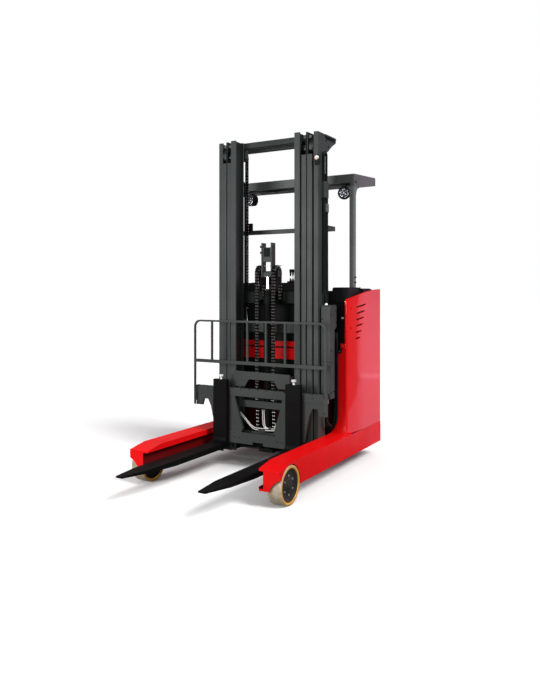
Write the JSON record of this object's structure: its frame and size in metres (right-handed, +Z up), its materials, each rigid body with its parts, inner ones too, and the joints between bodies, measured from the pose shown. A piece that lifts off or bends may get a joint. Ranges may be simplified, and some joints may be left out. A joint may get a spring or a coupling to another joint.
{
  "type": "stand-on electric reach truck",
  "caption": "Electric reach truck with straddle legs, triplex mast, tilting fork carriage with load backrest, stand-on operator compartment and overhead guard.",
  "frame": {"origin": "on the floor under the middle of the whole truck, forks and rear included", "axes": "+X to the truck's left, -Y the way the forks point, +Z up"},
  "size_m": [1.186, 2.114, 2.497],
  "materials": {
    "body_red": "gloss red paint",
    "mast_grey": "satin dark grey paint",
    "fork_black": "satin black paint",
    "black_plastic": "fine-grained black plastic",
    "guard_grey": "satin dark grey paint",
    "polyurethane": "amber polyurethane",
    "hub_black": "black painted casting",
    "steel": "machined steel",
    "chrome_rod": "hard chrome",
    "chain_steel": "oiled chain steel",
    "battery_case": "acid-proof dark paint",
    "rubber_mat": "ribbed rubber",
    "hose_rubber": "smooth black hose",
    "pad_vinyl": "black vinyl",
    "lamp_glass": "clear lens"
  },
  "bodies": {
    "chassis": {"straddle_legs": "body_red", "load_wheel_axles": "steel", "chassis_frame": "body_red", "chassis_crossbeam": "body_red", "body_sides": "body_red", "front_bulkhead": "black_plastic", "battery": "battery_case", "knee_panel": "black_plastic", "dashboard": "black_plastic", "drive_cover": "black_plastic", "rear_cover": "body_red", "operator_platform": "body_red", "platform_mat": "rubber_mat", "lean_pad": "pad_vinyl", "control_levers": "black_plastic", "guard_posts": "guard_grey", "guard_roof": "guard_grey", "headlamps": "black_plastic", "headlamp_lenses": "lamp_glass", "reach_cylinder_barrel": "fork_black"},
    "load_wheel_left": {"load_wheel_tyre_left": "polyurethane", "load_wheel_hub_left": "hub_black"},
    "load_wheel_right": {"load_wheel_tyre_right": "polyurethane", "load_wheel_hub_right": "hub_black"},
    "drive_unit": {"drive_unit": "hub_black"},
    "drive_wheel": {"drive_wheel_tyre": "polyurethane", "drive_wheel_hub": "hub_black"},
    "caster_fork": {"caster_fork": "fork_black"},
    "caster_wheel": {"caster_wheels": "polyurethane"},
    "steering_wheel": {"steering_wheel": "black_plastic"},
    "outer_mast": {"outer_rails": "mast_grey", "outer_mast_crossmembers": "mast_grey", "outer_mast_brackets": "mast_grey", "outer_mast_rollers": "steel", "mast_base": "mast_grey", "reach_rollers": "steel", "lift_cylinder_barrels": "fork_black", "mast_side_cover": "mast_grey", "reach_rod": "chrome_rod", "mast_hoses": "hose_rubber"},
    "middle_mast": {"middle_rails": "mast_grey", "middle_mast_crossmembers": "mast_grey", "middle_mast_rollers": "steel", "lift_cylinder_rods": "chrome_rod", "mast_chains": "chain_steel"},
    "inner_mast": {"inner_rails": "mast_grey", "inner_mast_crossmembers": "mast_grey", "inner_mast_rollers": "steel", "free_lift_barrel": "fork_black"},
    "chain_crosshead": {"free_lift_rod": "chrome_rod", "chain_crosshead": "mast_grey", "chain_pulleys": "steel", "lift_chains": "chain_steel"},
    "fork_carriage": {"fork_carriage": "mast_grey", "carriage_rollers": "steel", "tilt_cylinder_barrels": "fork_black"},
    "tilt_rods": {"tilt_cylinder_rods": "chrome_rod"},
    "fork_face": {"carriage_face": "mast_grey", "load_backrest": "mast_grey", "forks": "fork_black"}
  },
  "joints": [
    {"name": "load_wheel_left_spin", "type": "hinge", "parent": "chassis", "child": "load_wheel_left", "pos_m": [0.544, -0.5, 0.125], "axis": [1, 0, 0], "continuous": true},
    {"name": "load_wheel_right_spin", "type": "hinge", "parent": "chassis", "child": "load_wheel_right", "pos_m": [-0.544, -0.5, 0.125], "axis": [1, 0, 0], "continuous": true},
    {"name": "drive_steer", "type": "hinge", "parent": "chassis", "child": "drive_unit", "pos_m": [0.302, 0.862, 0.3], "axis": [0, 0, 1], "range_deg": [-90, 90]},
    {"name": "drive_wheel_spin", "type": "hinge", "parent": "drive_unit", "child": "drive_wheel", "pos_m": [0.302, 0.862, 0.125], "axis": [1, 0, 0], "continuous": true},
    {"name": "caster_swivel", "type": "hinge", "parent": "chassis", "child": "caster_fork", "pos_m": [-0.3, 0.862, 0.18], "axis": [0, 0, 1], "continuous": true},
    {"name": "caster_wheel_spin", "type": "hinge", "parent": "caster_fork", "child": "caster_wheel", "pos_m": [-0.3, 0.9, 0.075], "axis": [1, 0, 0], "continuous": true},
    {"name": "steering_wheel_turn", "type": "hinge", "parent": "chassis", "child": "steering_wheel", "pos_m": [0.34, 0.835, 1.296], "axis": [0, 0, 1], "continuous": true},
    {"name": "mast_reach", "type": "slide", "parent": "chassis", "child": "outer_mast", "axis": [0, -1, 0], "range_m": [0, 0.55]},
    {"name": "middle_mast_lift", "type": "slide", "parent": "outer_mast", "child": "middle_mast", "axis": [0, 0, 1], "range_m": [0, 1.9]},
    {"name": "inner_mast_lift", "type": "slide", "parent": "middle_mast", "child": "inner_mast", "axis": [0, 0, 1], "range_m": [0, 1.9], "deforming": ["mast_chains"]},
    {"name": "fork_lift", "type": "slide", "parent": "inner_mast", "child": "fork_carriage", "axis": [0, 0, 1], "range_m": [-0.1, 1.5]},
    {"name": "crosshead_lift", "type": "slide", "parent": "inner_mast", "child": "chain_crosshead", "axis": [0, 0, 1], "range_m": [-0.05, 0.75], "deforming": ["lift_chains"]},
    {"name": "fork_tilt", "type": "hinge", "parent": "fork_carriage", "child": "fork_face", "pos_m": [0, 0.192, 0.64], "axis": [-1, 0, 0], "range_deg": [-2, 4]},
    {"name": "tilt_rod_push", "type": "slide", "parent": "fork_carriage", "child": "tilt_rods", "axis": [0, -1, 0], "range_m": [-0.0145, 0.029]}
  ],
  "couplings": [
    {"joint": "inner_mast_lift", "follows": "middle_mast_lift", "ratio": 1},
    {"joint": "crosshead_lift", "follows": "fork_lift", "ratio": 0.5},
    {"joint": "tilt_rod_push", "follows": "fork_tilt", "m_per_rad": 0.411}
  ]
}
